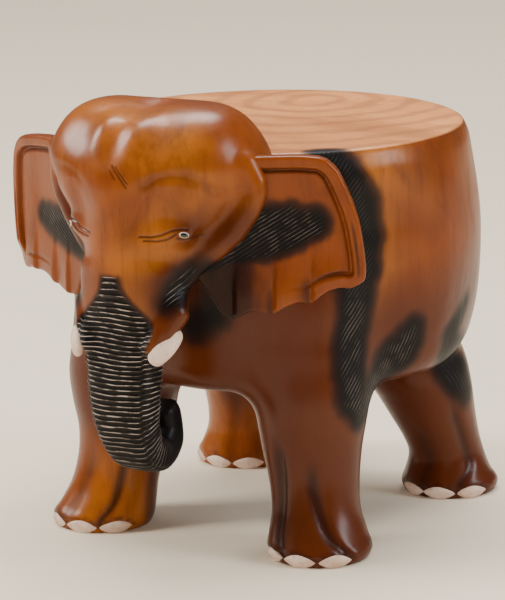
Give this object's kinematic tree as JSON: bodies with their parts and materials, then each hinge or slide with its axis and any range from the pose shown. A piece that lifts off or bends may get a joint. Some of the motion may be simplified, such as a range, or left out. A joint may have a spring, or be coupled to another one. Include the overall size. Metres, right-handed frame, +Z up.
{
  "type": "carved elephant stool",
  "caption": "Carved and lacquered wooden elephant whose barrel body ends in a flat round seat, used as a stool, side table or display figure.",
  "frame": {"origin": "on the floor, under the middle of the object's own box", "axes": "+Z up, the elephant faces -Y, its left side is +X; the seat's axis stands at X = 0, Y = 36.1 mm"},
  "size_m": [0.3772, 0.4613, 0.406],
  "materials": {
    "lacquered_log": "glossy warm orange-brown lacquer over carved hardwood with burnt black patches, paler end grain on the seat",
    "lacquered_head": "glossy warm orange-brown lacquer, black burnt and grooved trunk",
    "lacquered_ears": "glossy orange-brown lacquer with burnt patches of fine carved strokes",
    "tusk_white": "pale wood, thinly whitewashed and waxed",
    "eye_white": "white painted wooden ring",
    "eye_bead": "glossy black bead",
    "nail_white": "pale bare wood, rubbed with white, satin",
    "bare_dowel": "plain beech dowel"
  },
  "bodies": {
    "root": {"body_log": "lacquered_log", "head": "lacquered_head", "left_ear": "lacquered_ears", "right_ear": "lacquered_ears", "left_tusk": "tusk_white", "right_tusk": "tusk_white", "left_eye_white": "eye_white", "right_eye_white": "eye_white", "left_eye_bead": "eye_bead", "right_eye_bead": "eye_bead", "front_left_toenails": "nail_white", "front_right_toenails": "nail_white", "rear_left_toenails": "nail_white", "rear_right_toenails": "nail_white", "neck_dowels": "bare_dowel", "left_ear_dowels": "bare_dowel", "right_ear_dowels": "bare_dowel"}
  },
  "joints": []
}
